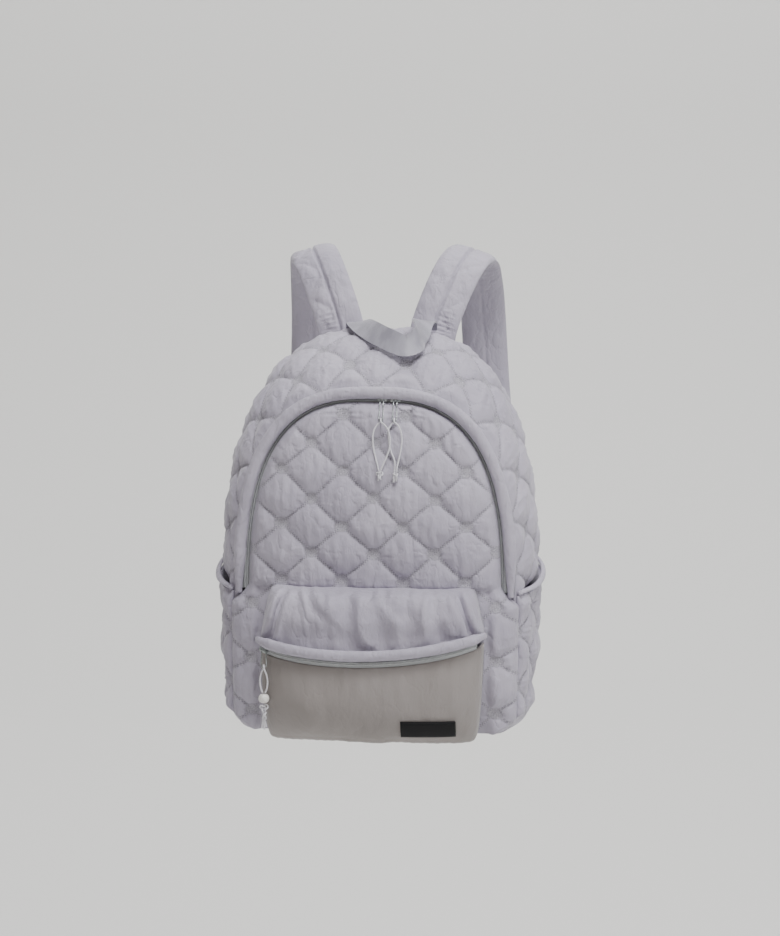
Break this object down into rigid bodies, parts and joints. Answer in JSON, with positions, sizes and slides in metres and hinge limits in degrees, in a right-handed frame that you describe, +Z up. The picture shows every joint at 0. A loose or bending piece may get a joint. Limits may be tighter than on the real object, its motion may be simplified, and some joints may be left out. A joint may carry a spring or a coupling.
{
  "type": "quilted puffer backpack",
  "caption": "Quilted puffer backpack in worn form: domed zip front, gathered front pocket, slip side pockets, padded shoulder straps and haul handle.",
  "frame": {"origin": "middle of the back panel's outer face, where the pack bears on its wearer's back", "axes": "+Z up, -Y towards the pocket side, +Y towards the wearer, +X to the right as seen from the pocket side"},
  "size_m": [0.377, 0.422, 0.54],
  "materials": {
    "quilted_nylon": "matte puffer nylon, quilted over wadding",
    "plain_nylon": "matte puffer nylon",
    "webbing": "satin woven webbing",
    "zip_tape": "woven tape with nylon coil",
    "nickel": "satin nickel plate",
    "cord": "braided polyester cord",
    "bead": "cream moulded bead",
    "label": "black woven patch, bare",
    "buckle": "moulded acetal"
  },
  "bodies": {
    "root": {"back_panel": "quilted_nylon", "gusset": "quilted_nylon", "base_panel": "plain_nylon", "front_panel": "quilted_nylon", "main_zip": "zip_tape", "zip_band": "plain_nylon", "slider_left": "nickel", "slider_right": "nickel", "pull_wire_left": "nickel", "pull_wire_right": "nickel", "pull_cord_left": "cord", "pull_cord_right": "cord", "pull_knot_left": "cord", "pull_knot_right": "cord", "pocket_pouch": "plain_nylon", "pocket_top": "plain_nylon", "pocket_zip": "zip_tape", "pocket_band": "plain_nylon", "pocket_slider": "nickel", "pocket_pull_wire": "nickel", "pocket_cord": "cord", "pocket_bead": "bead", "pocket_knot": "cord", "label_patch": "label", "side_pocket_left": "quilted_nylon", "side_pocket_edge_left": "plain_nylon", "side_pocket_right": "quilted_nylon", "side_pocket_edge_right": "plain_nylon", "strap_left": "quilted_nylon", "strap_webbing_left": "webbing", "strap_adjuster_left": "buckle", "strap_anchor_left": "plain_nylon", "strap_right": "quilted_nylon", "strap_webbing_right": "webbing", "strap_adjuster_right": "buckle", "strap_anchor_right": "plain_nylon", "haul_handle": "webbing"}
  },
  "joints": []
}
